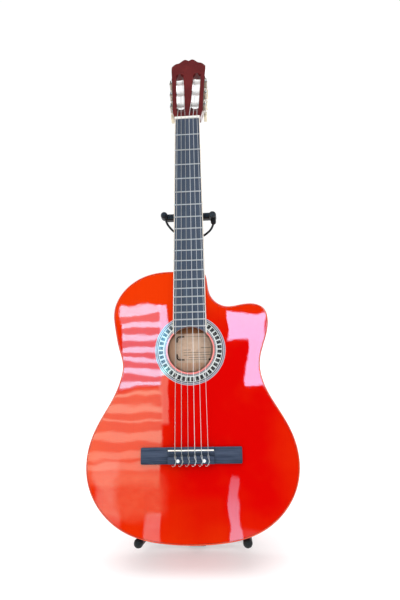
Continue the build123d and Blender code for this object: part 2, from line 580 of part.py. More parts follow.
# ---------------------------------------------------------------- notes for the joints
for nm, p in (("clamp_knob", gpoint(0, CLAMP_U, MAST_N)), ("rear_hinge", (HX, HY, HZ)),
              ("neck_dir", (0, sinL, cosL)), ("face_dir", (0, -cosL, sinL))):
    print(nm, tuple(round(q, 4) for q in p))
for s in (1, -1):
    for i, v in enumerate(ROLL_V):
        k = NODE_NO[s][i]
        loc = G * HEAD * side_frame(s)
        pr = (loc * Pos(s * GEAR_X, v - 25.0, ROLL_N)).position
        pb = (loc * Pos(s * GEAR_X, v - 25.0 + WORM_DY, ROLL_N)).position
        ax = (loc * Pos(1, 0, 0)).position - loc.position
        an = (loc * Pos(0, 0, 1)).position - loc.position
        print("tuner", k, "roller", [round(q / 1000, 6) for q in (pr.X, pr.Y, pr.Z)], [round(q, 6) for q in (ax.X, ax.Y, ax.Z)],
              "button", [round(q / 1000, 6) for q in (pb.X, pb.Y, pb.Z)], [round(q, 6) for q in (an.X, an.Y, an.Z)])
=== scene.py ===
import bmesh
import bpy
import math
import numpy as np
from mathutils import Matrix, Vector


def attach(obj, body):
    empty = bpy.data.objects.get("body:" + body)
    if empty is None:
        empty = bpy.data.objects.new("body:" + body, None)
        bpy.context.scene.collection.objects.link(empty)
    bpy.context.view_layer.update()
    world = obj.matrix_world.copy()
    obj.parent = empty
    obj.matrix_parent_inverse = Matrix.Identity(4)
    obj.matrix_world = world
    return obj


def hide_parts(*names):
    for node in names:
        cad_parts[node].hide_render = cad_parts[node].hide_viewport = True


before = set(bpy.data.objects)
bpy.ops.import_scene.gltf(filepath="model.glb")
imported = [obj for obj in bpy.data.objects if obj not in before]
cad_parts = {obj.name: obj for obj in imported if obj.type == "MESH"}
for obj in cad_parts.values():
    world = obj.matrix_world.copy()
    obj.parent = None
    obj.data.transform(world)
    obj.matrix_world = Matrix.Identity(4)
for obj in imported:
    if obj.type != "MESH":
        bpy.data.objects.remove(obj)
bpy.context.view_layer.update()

scene = bpy.context.scene
rad = math.radians

# ------------------------------------------------------------------ frames (millimetres -> metres)
LEAN = rad(14.0)
cosL, sinL = math.cos(LEAN), math.sin(LEAN)
BASE_Y, TAIL_U, EDGE_Z = -203.3233, -805.5, 52.0
S = Matrix.Scale(0.001, 4)
GM = S @ Matrix.Translation((0, BASE_Y - TAIL_U * sinL, EDGE_Z - TAIL_U * cosL)) @ Matrix.Rotation(rad(90) - LEAN, 4, 'X')
HM = GM @ Matrix.Translation((0, 5.0, 0.6)) @ Matrix.Rotation(rad(-14.0), 4, 'X')


def side_m(s):
    return HM @ Matrix.Translation((s * 14.2, 25.0, 0)) @ Matrix.Rotation(rad(-s * 2.49), 4, 'Z')


def gp(x, u, n):
    return GM @ Vector((x, u, n))


# ------------------------------------------------------------------ material graph helper
class Graph:
    def __init__(self, name, **sockets):
        self.mat = bpy.data.materials.new(name)
        self.mat.use_nodes = True
        self.nt = self.mat.node_tree
        self.nt.nodes.clear()
        self.out = self.nt.nodes.new("ShaderNodeOutputMaterial")
        self.bsdf = self.nt.nodes.new("ShaderNodeBsdfPrincipled")
        self.nt.links.new(self.bsdf.outputs[0], self.out.inputs[0])
        self.tc = self.nt.nodes.new("ShaderNodeTexCoord")
        for k, v in sockets.items():
            self.bsdf.inputs[k.replace("_", " ")].default_value = v

    def node(self, kind, inputs=None, **props):
        n = self.nt.nodes.new("ShaderNode" + kind)
        for k, v in props.items():
            setattr(n, k, v)
        for k, v in (inputs or {}).items():
            self.feed(n.inputs[k], v)
        return n

    def feed(self, socket, v):
        if isinstance(v, bpy.types.NodeSocket):
            self.nt.links.new(v, socket)
        else:
            socket.default_value = v

    def local(self, m):
        """Object coordinates in the frame of m, in millimetres."""
        loc, rot, sc = m.decompose()
        n = self.node("Mapping", vector_type="TEXTURE")
        self.feed(n.inputs["Vector"], self.tc.outputs["Object"])
        n.inputs["Location"].default_value = loc
        n.inputs["Rotation"].default_value = rot.to_euler('XYZ')
        n.inputs["Scale"].default_value = sc
        return n.outputs[0]

    def stretch(self, vec, k):
        return self.node("VectorMath", {0: vec, 1: k}, operation="MULTIPLY").outputs[0]

    def noise(self, vec, scale=1.0, detail=3.0, rough=0.5, distort=0.0):
        return self.node("TexNoise", {"Vector": vec, "Scale": scale, "Detail": detail, "Roughness": rough,
                                      "Distortion": distort}).outputs[0]

    def math(self, op, a, b=0.0, clamp=False):
        n = self.node("Math", operation=op, use_clamp=clamp)
        self.feed(n.inputs[0], a)
        self.feed(n.inputs[1], b)
        return n.outputs[0]

    def ramp(self, fac, lo, hi, smooth=True):
        n = self.node("MapRange", {"Value": fac, "From Min": lo, "From Max": hi}, clamp=True)
        if smooth:
            n.interpolation_type = "SMOOTHSTEP"
        return n.outputs[0]

    def to(self, fac, lo, hi):
        return self.node("MapRange", {"Value": fac, "To Min": lo, "To Max": hi}, clamp=True).outputs[0]

    def mix(self, fac, a, b, blend="MIX"):
        n = self.node("Mix", data_type="RGBA", blend_type=blend)
        self.feed(n.inputs["Factor"], fac)
        for sock, v in ((n.inputs[6], a), (n.inputs[7], b)):
            self.feed(sock, (*v, 1.0) if isinstance(v, tuple) and len(v) == 3 else v)
        return n.outputs[2]

    def axis(self, vec, i):
        return self.node("SeparateXYZ", {0: vec}).outputs[i]

    def colour(self, c):
        self.feed(self.bsdf.inputs["Base Color"], (*c, 1.0) if isinstance(c, tuple) else c)
        return self

    def rough(self, r):
        self.feed(self.bsdf.inputs["Roughness"], r)
        return self

    def bump(self, height, dist_mm, strength=1.0, coat=False):
        n = self.node("Bump", {"Height": height, "Distance": dist_mm * 0.001, "Strength": strength})
        self.nt.links.new(n.outputs[0], self.bsdf.inputs["Normal"])
        if coat:
            self.nt.links.new(n.outputs[0], self.bsdf.inputs["Coat Normal"])
        return self


def lacquer(name, deep, warm, grain_dir=GM, tone="top", dark=None, grain=0.16, coat_rough=0.018):
    """High gloss coloured lacquer over wood."""
    g = Graph(name, Coat_Weight=1.0, Coat_Roughness=coat_rough, Coat_IOR=1.5, IOR=1.35, Specular_IOR_Level=0.0)
    v = g.local(grain_dir)
    fibres = g.noise(g.stretch(v, (0.9, 0.006, 0.9)), 1.0, 4.0, 0.6)
    cloud = g.noise(v, 0.016, 3.0, 0.5)
    x, u, n = (g.axis(v, i) for i in range(3))
    if tone == "top":
        up = g.ramp(u, -470.0, -345.0)
        low = g.ramp(u, -735.0, -815.0)
        ax = g.math("ABSOLUTE", x)
        edge = g.ramp(ax, 118.0, 190.0)
        # painted light: the left side of the top is warmed towards orange where the light falls on it
        left = g.math("MULTIPLY", g.ramp(x, 10.0, -110.0), 0.42)
        f = g.math("ADD", g.math("MULTIPLY", up, 1.0), g.math("MULTIPLY", low, 0.34))
        f = g.math("ADD", f, g.math("ADD", g.math("MULTIPLY", edge, 0.30), left))
        f = g.math("ADD", f, g.math("MULTIPLY", g.math("SUBTRACT", cloud, 0.5), 0.55), clamp=True)
    else:
        f = g.ramp(cloud, 0.3, 0.7)
    base = g.mix(f, deep, warm)
    dk = dark or tuple(c * 0.55 for c in deep)
    streak = g.math("MULTIPLY", g.ramp(fibres, 0.52, 0.74), grain * 2.2)
    base = g.mix(streak, base, dk)
    g.colour(base)
    g.rough(g.to(fibres, 0.34, 0.46))
    wave = g.noise(v, 0.011, 1.5, 0.45)
    peel = g.noise(v, 0.16, 2.0, 0.5)
    h = g.math("ADD", g.math("MULTIPLY", wave, 1.0), g.math("MULTIPLY", peel, 0.010))
    g.bump(h, 0.55, 1.0, coat=True)
    return g.mat


def plain_wood(name, light, dark, m=GM, along=(0.75, 0.010, 0.75), rough=(0.5, 0.68), pores=True, shine=0.5,
               painted_shade=None):
    g = Graph(name, IOR=1.45, Specular_IOR_Level=shine)
    v = g.local(m)
    fib = g.noise(g.stretch(v, along), 1.0, 5.0, 0.62, 0.3)
    big = g.noise(g.stretch(v, tuple(k * 0.12 for k in along)), 1.0, 2.0)
    f = g.math("ADD", g.math("MULTIPLY", fib, 0.75), g.math("MULTIPLY", big, 0.35))
    tone = g.mix(g.ramp(f, 0.36, 0.72), light, dark)
    # painted shade: a darker colour blended in along the u axis, given as (colour, from, to)
    if painted_shade:
        tone = g.mix(g.ramp(g.axis(v, 1), painted_shade[1], painted_shade[2]), tone, painted_shade[0])
    g.colour(tone)
    g.rough(g.to(fib, *rough))
    if pores:
        g.bump(fib, 0.10)
    return g.mat


def plastic(name, a, b, rough=(0.22, 0.34), scale=0.35, bump=0.02, coat=0.0, sss=0.0):
    g = Graph(name, IOR=1.49)
    v = g.local(GM)
    cl = g.noise(v, scale, 4.0, 0.6)
    g.colour(g.mix(g.ramp(cl, 0.3, 0.7), a, b))
    g.rough(g.to(g.noise(v, scale * 3.1, 3.0), *rough))
    if coat:
        g.bsdf.inputs["Coat Weight"].default_value = coat
        g.bsdf.inputs["Coat Roughness"].default_value = 0.05
    if sss:
        g.bsdf.inputs["Subsurface Weight"].default_value = sss
        g.bsdf.inputs["Subsurface Radius"].default_value = (0.002, 0.0015, 0.001)
        g.bsdf.inputs["Subsurface Scale"].default_value = 0.4
    g.bump(g.noise(v, 2.4, 2.0), bump)
    return g.mat


def metal(name, a, b, rough=(0.16, 0.32), brush=None, m=GM, bump=0.02, solid=1.0):
    g = Graph(name, Metallic=solid)
    v = g.local(m)
    if brush:
        v2 = g.stretch(v, brush)
    else:
        v2 = v
    cl = g.noise(v2, 0.9, 4.0, 0.6)
    g.colour(g.mix(g.ramp(cl, 0.3, 0.7), a, b))
    g.rough(g.to(g.noise(v2, 2.0, 4.0), *rough))
    g.bump(cl, bump)
    return g.mat


def powder(name, base=(0.012, 0.0125, 0.014), m=GM, rough=(0.30, 0.46), grain=1.5, bump=0.035, worn=(0.05, 0.05, 0.055)):
    """Black powder coat or moulded plastic with a fine texture and faint dust."""
    g = Graph(name, IOR=1.5, Coat_Weight=0.15, Coat_Roughness=0.3)
    v = g.local(m)
    dust = g.noise(v, 0.05, 4.0, 0.65)
    g.colour(g.mix(g.math("MULTIPLY", g.ramp(dust, 0.5, 0.8), 0.5), base, worn))
    g.rough(g.to(g.noise(v, 0.3, 4.0), *rough))
    g.bump(g.noise(v, grain, 3.0, 0.6), bump)
    return g.mat


M = {}
RED, RED_WARM = (0.645, 0.0008, 0.0003), (0.775, 0.038, 0.0013)
M["top"] = lacquer("red_lacquer_top", RED, RED_WARM, dark=(0.60, 0.001, 0.0))
M["side"] = lacquer("red_lacquer_side", (0.62, 0.004, 0.001), (0.78, 0.022, 0.002), tone="cloud", dark=(0.36, 0.001, 0.0), grain=0.3)
M["back"] = lacquer("red_lacquer_back", (0.64, 0.004, 0.001), (0.80, 0.022, 0.002), tone="cloud", dark=(0.36, 0.001, 0.0), grain=0.3)
M["head"] = lacquer("burgundy_lacquer", (0.090, 0.006, 0.007), (0.140, 0.012, 0.012), tone="cloud",
                    dark=(0.05, 0.004, 0.005), grain=0.3, coat_rough=0.05)
M["lip"] = lacquer("pale_coral_lip", (0.74, 0.20, 0.19), (0.80, 0.27, 0.25), tone="cloud", dark=(0.62, 0.10, 0.09), grain=0.10)
# painted reflection: the blue cast in the dark fingerboard's colours is a reflection painted in, over dark wood
M["board"] = plain_wood("dark_fingerboard", (0.072, 0.096, 0.140), (0.038, 0.052, 0.082), along=(1.6, 0.018, 1.6), rough=(0.42, 0.58), shine=0.25)
M["bridge"] = plain_wood("dark_bridge", (0.012, 0.020, 0.044), (0.058, 0.076, 0.124), along=(0.020, 0.55, 0.55), rough=(0.42, 0.58), shine=0.2)
M["inner"] = plain_wood("bare_inside", (0.66, 0.42, 0.26), (0.46, 0.27, 0.15), along=(0.5, 0.010, 0.5), rough=(0.6, 0.8))
# the inside of the back darkens towards the neck end as painted shade below the soundhole's upper edge
M["inner_back"] = plain_wood("bare_back_inside", (0.84, 0.58, 0.41), (0.66, 0.40, 0.26), along=(0.5, 0.010, 0.5), rough=(0.6, 0.8),
                             painted_shade=((0.30, 0.12, 0.05), -446.0, -422.0))
M["coil"] = plastic("string_coil", (0.97, 0.96, 0.94), (0.90, 0.89, 0.88), rough=(0.35, 0.5))
M["block"] = plain_wood("bare_block", (0.56, 0.27, 0.12), (0.40, 0.17, 0.07), along=(0.012, 0.5, 0.5), rough=(0.6, 0.8))
M["cream"] = plastic("cream_edge", (0.83, 0.76, 0.66), (0.76, 0.67, 0.55), coat=0.4)
M["ivory"] = plastic("ivory_plastic", (0.95, 0.93, 0.88), (0.92, 0.89, 0.82), coat=0.5, sss=0.15)
M["pearl"] = plastic("pearl_button", (0.86, 0.82, 0.66), (0.78, 0.72, 0.54), coat=0.7, sss=0.2)
M["dot"] = plastic("pearl_dot", (0.93, 0.94, 0.95), (0.80, 0.84, 0.88), rough=(0.15, 0.25), scale=0.9, coat=0.8)
M["paper"] = plastic("label_paper", (0.79, 0.62, 0.49), (0.69, 0.52, 0.39), rough=(0.7, 0.9), scale=0.12)
M["print"] = plastic("label_print", (0.030, 0.024, 0.022), (0.055, 0.045, 0.04), rough=(0.6, 0.8))
M["nickel"] = metal("nickel", (0.82, 0.755, 0.67), (0.62, 0.555, 0.48))
M["fret"] = metal("fret_wire", (0.60, 0.61, 0.62), (0.50, 0.51, 0.53), rough=(0.42, 0.55), solid=0.45)
M["tube"] = powder("black_tube")
M["mould"] = powder("black_moulded", (0.010, 0.013, 0.019), rough=(0.42, 0.6), grain=2.6, bump=0.05)
M["rubber"] = powder("black_rubber", (0.004, 0.004, 0.005), rough=(0.6, 0.78), grain=1.2, bump=0.06, worn=(0.02, 0.02, 0.023))
M["steel"] = metal("bolt_steel", (0.56, 0.56, 0.57), (0.45, 0.45, 0.46), rough=(0.25, 0.4))


def foam_mat():
    g = Graph("foam_sleeve", IOR=1.4)
    v = g.local(GM)
    cells = g.node("TexVoronoi", {"Vector": v, "Scale": 0.95}).outputs["Distance"]
    big = g.noise(v, 0.09, 3.0)
    g.colour(g.mix(g.ramp(big, 0.3, 0.7), (0.012, 0.012, 0.013), (0.022, 0.022, 0.024)))
    g.rough(g.to(cells, 0.78, 0.95))
    g.bsdf.inputs["Sheen Weight"].default_value = 0.25
    g.bsdf.inputs["Sheen Roughness"].default_value = 0.5
    g.bump(cells, 0.28)
    return g.mat


def yoke_mat():
    """Moulded black rubber; the slate-blue on top is a painted sheen where light falls, black below."""
    g = Graph("yoke_rubber", IOR=1.5, Specular_IOR_Level=0.3)
    v = g.local(GM)
    n = g.axis(v, 2)
    u = g.axis(v, 1)
    cl = g.noise(v, 0.22, 4.0, 0.6)
    # painted sheen: slate-blue towards the top of the yoke, black below
    f = g.math("MULTIPLY", g.ramp(u, -213.0, -198.0), g.to(cl, 0.55, 1.0))
    g.colour(g.mix(f, (0.003, 0.0032, 0.004), (0.022, 0.033, 0.052)))
    g.rough(g.to(cl, 0.26, 0.40))
    g.bump(g.noise(v, 1.6, 3.0, 0.6), 0.05)
    return g.mat


def string_mat(name, wound):
    g = Graph(name)
    v = g.local(GM)
    u = g.axis(v, 1)
    if wound:
        g.bsdf.inputs["Metallic"].default_value = 0.55
        band = g.math("SINE", g.math("MULTIPLY", u, 2 * math.pi / 0.34))
        tone = g.noise(v, 0.05, 2.0)
        g.colour(g.mix(g.ramp(tone, 0.3, 0.7), (0.60, 0.585, 0.56), (0.52, 0.51, 0.50)))
        g.rough(g.to(tone, 0.40, 0.52))
        g.bump(band, 0.012)
    else:
        g.bsdf.inputs["Transmission Weight"].default_value = 0.18
        g.bsdf.inputs["IOR"].default_value = 1.52
        tone = g.noise(v, 0.08, 2.0)
        g.colour(g.mix(g.ramp(tone, 0.3, 0.7), (0.70, 0.71, 0.73), (0.62, 0.63, 0.66)))
        g.rough(g.to(tone, 0.30, 0.42))
        g.bump(g.noise(v, 1.4, 2.0), 0.008)
    return g.mat


def split_mat(name, m, axis_i, limit, above, inner, outer, absolute=False):
    """Two finishes on one machined piece, parted where a coordinate of its own frame passes a limit."""
    g = Graph(name, IOR=1.5)
    v = g.local(m)
    c = g.axis(v, axis_i)
    if absolute:
        c = g.math("ABSOLUTE", c)
    f = g.math("GREATER_THAN", c, limit)
    cl = g.noise(v, 0.5, 4.0, 0.6)
    a = g.mix(g.ramp(cl, 0.3, 0.7), *inner)
    b = g.mix(g.ramp(cl, 0.3, 0.7), *outer)
    g.colour(g.mix(f, a, b))
    met = f if above else g.math("SUBTRACT", 1.0, f)
    g.feed(g.bsdf.inputs["Metallic"], met)
    g.rough(g.to(g.noise(v, 1.7, 4.0), 0.18, 0.33))
    g.bump(cl, 0.02)
    return g.mat


M["foam"] = foam_mat()
M["yoke"] = yoke_mat()
M["wound"] = string_mat("wound_string", True)
M["nylon"] = string_mat("nylon_string", False)
NICKEL2 = ((0.82, 0.755, 0.67), (0.62, 0.555, 0.48))
PEARL2 = ((0.86, 0.80, 0.62), (0.78, 0.70, 0.50))
WHITE2 = ((0.97, 0.965, 0.95), (0.93, 0.925, 0.90))


# ------------------------------------------------------------------ mesh helpers
def piece(name, verts, faces, mats, body, m=GM, replaces=(), smooth=True, angle=38, index=None, fix=True):
    me = bpy.data.meshes.new(name)
    me.from_pydata([tuple(m @ Vector(v)) for v in verts], [], [tuple(f) for f in faces])
    for mt in (mats if isinstance(mats, (list, tuple)) else [mats]):
        me.materials.append(mt)
    if index is not None:
        me.polygons.foreach_set("material_index", index)
    if fix:
        bm = bmesh.new()
        bm.from_mesh(me)
        bmesh.ops.recalc_face_normals(bm, faces=bm.faces)
        bm.to_mesh(me)
        bm.free()
    if smooth:
        me.polygons.foreach_set("use_smooth", [True] * len(me.polygons))
        me.set_sharp_from_angle(angle=rad(angle))
    me.update()
    ob = bpy.data.objects.new(name, me)
    scene.collection.objects.link(ob)
    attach(ob, body)
    if replaces:
        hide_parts(*replaces)
    return ob


def rounded(points, per=6):
    """Catmull-Rom curve through points."""
    p = [Vector(q) for q in points]
    p = [p[0] * 2 - p[1]] + p + [p[-1] * 2 - p[-2]]
    out = []
    for i in range(1, len(p) - 2):
        for k in range(per):
            t = k / per
            a, b, c, d = p[i - 1], p[i], p[i + 1], p[i + 2]
            out.append(0.5 * ((2 * b) + (c - a) * t + (2 * a - 5 * b + 4 * c - d) * t * t + (3 * b - a - 3 * c + d) * t ** 3))
    out.append(p[-2])
    return out


def tube_mesh(paths, seg=10):
    """Round tubes along point lists [(points, radius), ...] as verts and faces with domed ends."""
    verts, faces = [], []
    for pts, r in paths:
        pts = [Vector(p) for p in pts]
        base = len(verts)
        t0 = (pts[1] - pts[0]).normalized()
        ref = Vector((0, 0, 1)) if abs(t0.z) < 0.9 else Vector((1, 0, 0))
        nrm = t0.cross(ref).normalized()
        rings = []
        for i, p in enumerate(pts):
            t = (pts[min(i + 1, len(pts) - 1)] - pts[max(i - 1, 0)]).normalized()
            nrm = (nrm - t * nrm.dot(t)).normalized()
            bi = t.cross(nrm)
            if i in (0, len(pts) - 1):
                sgn = -1 if i == 0 else 1
                steps = [(0.35, 0.94), (0.7, 0.71)] if i else [(0.7, 0.71), (0.35, 0.94)]
                dome = [(p + t * sgn * r * a, r * b) for a, b in steps]
                rr = dome + [(p, r)] if i == 0 else [(p, r)] + dome
            else:
                rr = [(p, r)]
            for c, q in rr:
                rings.append([c + nrm * (q * math.cos(2 * math.pi * k / seg)) + bi * (q * math.sin(2 * math.pi * k / seg)) for k in range(seg)])
        for ring in rings:
            verts.extend(ring)
        for i in range(len(rings) - 1):
            for k in range(seg):
                a = base + i * seg + k
                b = base + i * seg + (k + 1) % seg
                faces.append((a, b, b + seg, a + seg))
        for i, sgn in ((0, -1), (len(rings) - 1, 1)):
            t = (pts[1] - pts[0]).normalized() if i == 0 else (pts[-1] - pts[-2]).normalized()
            end = pts[0] if i == 0 else pts[-1]
            verts.append(end + t * sgn * r)
            apex = len(verts) - 1
            for k in range(seg):
                a = base + i * seg + k
                b = base + i * seg + (k + 1) % seg
                faces.append((a, b, apex))
    return verts, faces


def revolve(profile, centre, seg=160, angle0=0.0, angle1=2 * math.pi):
    """Closed profile [(r, n), ...] turned about the axis through centre (x, u) along n."""
    full = abs(angle1 - angle0 - 2 * math.pi) < 1e-9
    count = seg if full else seg + 1
    verts, faces = [], []
    m = len(profile)
    for i in range(count):
        a = angle0 + (angle1 - angle0) * i / seg
        for r, n in profile:
            verts.append((centre[0] + r * math.cos(a), centre[1] + r * math.sin(a), n))
    for i in range(seg):
        j = (i + 1) % count
        for k in range(m):
            l = (k + 1) % m
            faces.append((i * m + k, j * m + k, j * m + l, i * m + l))
    if not full:
        faces.append(tuple(range(m)))
        faces.append(tuple((count - 1) * m + k for k in reversed(range(m))))
    return verts, faces


def merge(parts):
    verts, faces = [], []
    for v, f in parts:
        b = len(verts)
        verts += list(v)
        faces += [tuple(b + i for i in q) for q in f]
    return verts, faces


def block(x0, x1, u0, u1, n0, n1, edge=0.0):
    """Box, with its upper edges taken off by edge."""
    e = edge
    v = [(x0, u0, n0), (x1, u0, n0), (x1, u1, n0), (x0, u1, n0),
         (x0, u0, n1 - e), (x1, u0, n1 - e), (x1, u1, n1 - e), (x0, u1, n1 - e),
         (x0 + e, u0 + e, n1), (x1 - e, u0 + e, n1), (x1 - e, u1 - e, n1), (x0 + e, u1 - e, n1)]
    f = [(3, 2, 1, 0), (0, 1, 5, 4), (1, 2, 6, 5), (2, 3, 7, 6), (3, 0, 4, 7),
         (4, 5, 9, 8), (5, 6, 10, 9), (6, 7, 11, 10), (7, 4, 8, 11), (8, 9, 10, 11)]
    return v, f


# ------------------------------------------------------------------ body outline
OUTLINE = [
    (0.0, -805.6), (42.8, -803.6), (84.5, -796.7), (123.6, -780.9),
    (156.1, -754.1), (178.0, -718.8), (186.1, -679.7), (180.7, -637.9), (164.0, -599.2),
    (142.7, -562.7), (127.7, -524.9), (126.5, -496.0), (137.6, -457.4), (143.9, -424.8),
    (141.4, -408.9), (137.1, -401.3), (130.4, -396.0), (118.4, -392.0), (91.9, -393.4),
    (67.7, -395.4), (56.5, -391.8), (45.2, -383.0), (37.9, -371.5), (33.1, -344.7),
    (30.1, -332.6), (25.8, -327.1), (19.4, -324.4), (-7.0, -324.3), (-49.3, -324.9),
    (-89.1, -333.7), (-117.3, -351.7), (-135.8, -375.7), (-142.9, -398.3), (-140.5, -432.3),
    (-131.4, -473.6), (-124.6, -500.5), (-127.7, -524.9), (-142.7, -562.7), (-164.0, -599.2),
    (-180.7, -637.9), (-186.1, -679.7), (-178.0, -718.8), (-156.1, -754.1), (-123.6, -780.9),
    (-84.5, -796.7), (-42.8, -803.6)]


def periodic_spline(pts, per=12):
    """Points and inward unit normals along the closed cubic through pts (chord length parameter)."""
    p = np.array(pts, float)
    n = len(p)
    h = np.linalg.norm(np.roll(p, -1, 0) - p, axis=1)
    a = np.zeros((n, n))
    rhs = np.zeros((n, 2))
    for i in range(n):
        hp, hn = h[i - 1], h[i]
        a[i, i - 1] += hp
        a[i, i] += 2 * (hp + hn)
        a[i, (i + 1) % n] += hn
        rhs[i] = 6 * ((p[(i + 1) % n] - p[i]) / hn - (p[i] - p[i - 1]) / hp)
    m = np.linalg.solve(a, rhs)
    out, nor = [], []
    for i in range(n):
        j = (i + 1) % n
        for k in range(per):
            t = k / per * h[i]
            s = h[i] - t
            q = m[i] * s ** 3 / (6 * h[i]) + m[j] * t ** 3 / (6 * h[i]) + (p[i] / h[i] - m[i] * h[i] / 6) * s \
                + (p[j] / h[i] - m[j] * h[i] / 6) * t
            d = -m[i] * s ** 2 / (2 * h[i]) + m[j] * t ** 2 / (2 * h[i]) - (p[i] / h[i] - m[i] * h[i] / 6) \
                + (p[j] / h[i] - m[j] * h[i] / 6)
            d = d / np.linalg.norm(d)
            out.append(q)
            nor.append((-d[1], d[0]))
    return np.array(out), np.array(nor)


EDGE, INWARD = periodic_spline(OUTLINE)
BACK_N, BACK_R = -99.5, 4500.0


def back_n(x):
    return BACK_N + BACK_R - math.sqrt(BACK_R ** 2 - x * x)


# ------------------------------------------------------------------ binding: rounded rim with fine lines
def rim(front):
    """Rim profile as (inset, depth below the face) with the face it shows per step."""
    arc = [(1.7 - 1.7 * math.sin(a), 1.7 - 1.7 * math.cos(a)) for a in (rad(k) for k in (15, 30, 45, 60, 75, 90))]
    prof = [(3.0, 4.0), (3.0, 0.0), (2.4, 0.0), (1.7, 0.0)] + arc + [(0.0, 4.0)]
    kinds = [0, 1, 0] + [0, 0, 0, 2, 2, 2] + [2, 0]
    verts, faces, index = [], [], []
    m = len(prof)
    for (x, u), (ix, iu) in zip(EDGE, INWARD):
        for a, d in prof:
            px, pu = x + ix * a, u + iu * a
            n = -d if front else back_n(px) + d
            verts.append((px, pu, n))
    c = len(EDGE)
    for i in range(c):
        j = (i + 1) % c
        for k in range(m):
            l = (k + 1) % m
            faces.append((i * m + k, j * m + k, j * m + l, i * m + l))
            index.append(kinds[k] if k < len(kinds) else 0)
    return verts, faces, index


def rim_mat(name, a, b, rough=0.2):
    g = Graph(name, Coat_Weight=1.0, Coat_Roughness=0.03, Coat_IOR=1.5)
    v = g.local(GM)
    cl = g.noise(v, 0.03, 3.0)
    g.colour(g.mix(g.ramp(cl, 0.3, 0.7), a, b))
    g.rough(g.to(g.noise(v, 0.4, 2.0), rough, rough + 0.12))
    g.bump(g.noise(v, 0.05, 2.0), 0.12, coat=True)
    return g.mat


M["rim_red"] = rim_mat("rim_amber_red", (0.86, 0.085, 0.010), (0.74, 0.035, 0.005))
M["rim_line"] = rim_mat("rim_dark_line", (0.20, 0.006, 0.003), (0.13, 0.004, 0.002))
M["rim_dark"] = rim_mat("rim_brown", (0.13, 0.012, 0.006), (0.075, 0.008, 0.005))
vf, ff, xf = rim(True)
vb, fb, xb = rim(False)
off = len(vf)
piece("binding_rims", vf + vb, ff + [tuple(off + i for i in f) for f in fb], [M["rim_red"], M["rim_line"], M["rim_dark"]],
      "guitar", replaces=("binding",), index=xf + xb, angle=50, fix=True)

# ------------------------------------------------------------------ rosette
HOLE = (0.0, -475.5)


def inlay(name, a, b, scale=0.5, shine=0.16, coat=0.85):
    m = plastic(name, a, b, rough=(0.34, 0.46), scale=scale, bump=0.01, coat=coat)
    m.node_tree.nodes["Principled BSDF"].inputs["Specular IOR Level"].default_value = shine
    return m


M["r_white"] = inlay("rosette_white", (0.58, 0.61, 0.60), (0.46, 0.50, 0.50))
M["r_light"] = inlay("rosette_light", (0.52, 0.50, 0.54), (0.42, 0.41, 0.46))
M["r_slate"] = inlay("rosette_slate", (0.020, 0.020, 0.028), (0.034, 0.032, 0.044), shine=0.08)
M["r_grey"] = inlay("rosette_grey", (0.16, 0.19, 0.24), (0.10, 0.12, 0.16))
M["r_black"] = inlay("rosette_black", (0.003, 0.003, 0.004), (0.007, 0.007, 0.009), shine=0.05, coat=0.75)
RINGS = [(44.8, 45.7, "r_slate"), (45.7, 46.6, "r_light"), (46.6, 47.6, "r_slate"), (47.6, 58.9, "r_white"),
         (58.9, 60.5, "r_slate"), (60.5, 61.9, "r_light"), (61.9, 63.5, "r_grey"), (63.5, 64.6, "r_light")]
groups = {}
for r0, r1, key in RINGS:
    groups.setdefault(key, []).append(revolve([(r0, -0.78), (r1, -0.78), (r1, 0.02), (r0, 0.02)], HOLE, seg=180))
for key, parts in groups.items():
    v, f = merge(parts)
    piece("rosette_" + key[2:], v, f, M[key], "guitar", replaces=("rosette",), angle=60)
tiles, tone = [], []
rng = np.random.default_rng(7)
for i in range(40):
    a = 2 * math.pi * (i + 0.5) / 40
    for j in range(3):
        for k in range(4):
            w = rad(3.12) / 3
            c = a + (j - 1) * 2 * w
            r0 = 50.0 + k * 1.95
            part = revolve([(r0 + 0.05, -0.5), (r0 + 1.90, -0.5), (r0 + 1.90, 0.045), (r0 + 0.05, 0.045)], HOLE, seg=1,
                           angle0=c - w * 0.955, angle1=c + w * 0.955)
            tiles.append(part)
            tone += [1 if rng.random() < 0.12 else 0] * len(part[1])
v, f = merge(tiles)
piece("rosette_blocks", v, f, [M["r_black"], M["r_slate"]], "guitar", index=tone, angle=60, smooth=False)

# ------------------------------------------------------------------ label printing: generic frame and rules
def label_n(x):
    return back_n(x) + 2.5 + 0.3 + 0.06


def printed(path, width):
    """Flat printed line on the curved back."""
    verts, faces = [], []
    pts = [Vector((p[0], p[1], 0)) for p in path]
    for i, p in enumerate(pts):
        t = (pts[min(i + 1, len(pts) - 1)] - pts[max(0, i - 1)]).normalized()
        nrm = Vector((-t.y, t.x, 0)) * width / 2
        for q in (p + nrm, p - nrm):
            n = label_n(q.x)
            verts += [(q.x, q.y, n - 0.05), (q.x, q.y, n + 0.03)]
    for i in range(len(pts) - 1):
        a, b = i * 4, (i + 1) * 4
        faces += [(a + 1, a + 3, b + 3, b + 1), (a, b, b + 2, a + 2), (a, a + 1, b + 1, b), (a + 2, b + 2, b + 3, a + 3)]
    faces += [(0, 2, 3, 1), tuple((len(pts) - 1) * 4 + k for k in (0, 1, 3, 2))]
    return verts, faces


def line(x0, u0, x1, u1, n=10):
    return [(x0 + (x1 - x0) * i / n, u0 + (u1 - u0) * i / n) for i in range(n + 1)]


